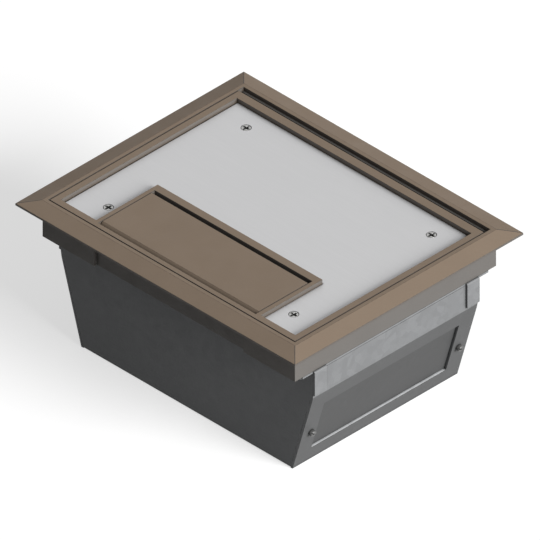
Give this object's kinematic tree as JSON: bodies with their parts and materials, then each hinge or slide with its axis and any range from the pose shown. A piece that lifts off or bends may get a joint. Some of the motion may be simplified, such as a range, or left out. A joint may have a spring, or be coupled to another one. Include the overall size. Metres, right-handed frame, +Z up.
{
  "type": "floor socket box",
  "caption": "Recessed steel floor socket box with a flush moulded trim, a hinged lid with an insert plate and cable flap, and power and data outlets inside.",
  "frame": {"origin": "centre of the underside of the base plate", "axes": "+Z up out of the floor, +X along the long side towards the right end panel, +Y towards the hinge of the lid; the cable flap is on the -Y side"},
  "size_m": [0.323, 0.264, 0.1456],
  "materials": {
    "brown_moulding": "satin moulded plastic, grey brown",
    "grey_moulding": "satin moulded plastic, warm grey",
    "galvanised_sheet": "galvanised sheet steel, dull",
    "bright_sheet": "bright zinc-coated sheet, fine grained",
    "zinc_fastener": "bright zinc plating",
    "white_moulding": "smooth moulded plastic, white",
    "brass_clip": "bare brass"
  },
  "bodies": {
    "box": {"trim_frame": "brown_moulding", "mounting_frame": "grey_moulding", "hanging_ring": "galvanised_sheet", "box_tray": "galvanised_sheet", "end_panel_left": "galvanised_sheet", "end_panel_right": "galvanised_sheet", "entry_plate_left": "galvanised_sheet", "entry_plate_right": "galvanised_sheet", "end_panel_screws": "zinc_fastener", "end_panel_nuts": "zinc_fastener", "frame_screws": "zinc_fastener", "frame_nuts": "zinc_fastener", "support_rail_front": "galvanised_sheet", "support_rail_rear": "galvanised_sheet", "divider_left": "galvanised_sheet", "divider_right": "galvanised_sheet", "accessory_carrier_1": "galvanised_sheet", "accessory_carrier_2": "galvanised_sheet", "accessory_carrier_3": "galvanised_sheet", "carrier_screws": "zinc_fastener", "power_socket_1": "white_moulding", "power_socket_2": "white_moulding", "power_socket_3": "white_moulding", "power_socket_4": "white_moulding", "power_socket_5": "white_moulding", "power_socket_6": "white_moulding", "earth_clips": "brass_clip", "data_outlet_1": "white_moulding", "data_outlet_2": "white_moulding", "data_outlet_3": "white_moulding", "earth_stud": "brass_clip", "earth_nuts": "zinc_fastener"},
    "lid": {"lid_moulding": "brown_moulding", "lid_insert_plate": "bright_sheet", "insert_plate_screws": "zinc_fastener", "lid_hinge_pins": "zinc_fastener", "flap_hinge_pin": "zinc_fastener"},
    "flap": {"cable_flap": "brown_moulding"}
  },
  "joints": [
    {"name": "lid_hinge", "type": "hinge", "parent": "box", "child": "lid", "pos_m": [0, 0.0983, 0.1369], "axis": [-1, 0, 0], "range_deg": [0, 105]},
    {"name": "flap_hinge", "type": "hinge", "parent": "lid", "child": "flap", "pos_m": [0.0006, -0.052, 0.1402], "axis": [-1, 0, 0], "range_deg": [0, 100]}
  ]
}
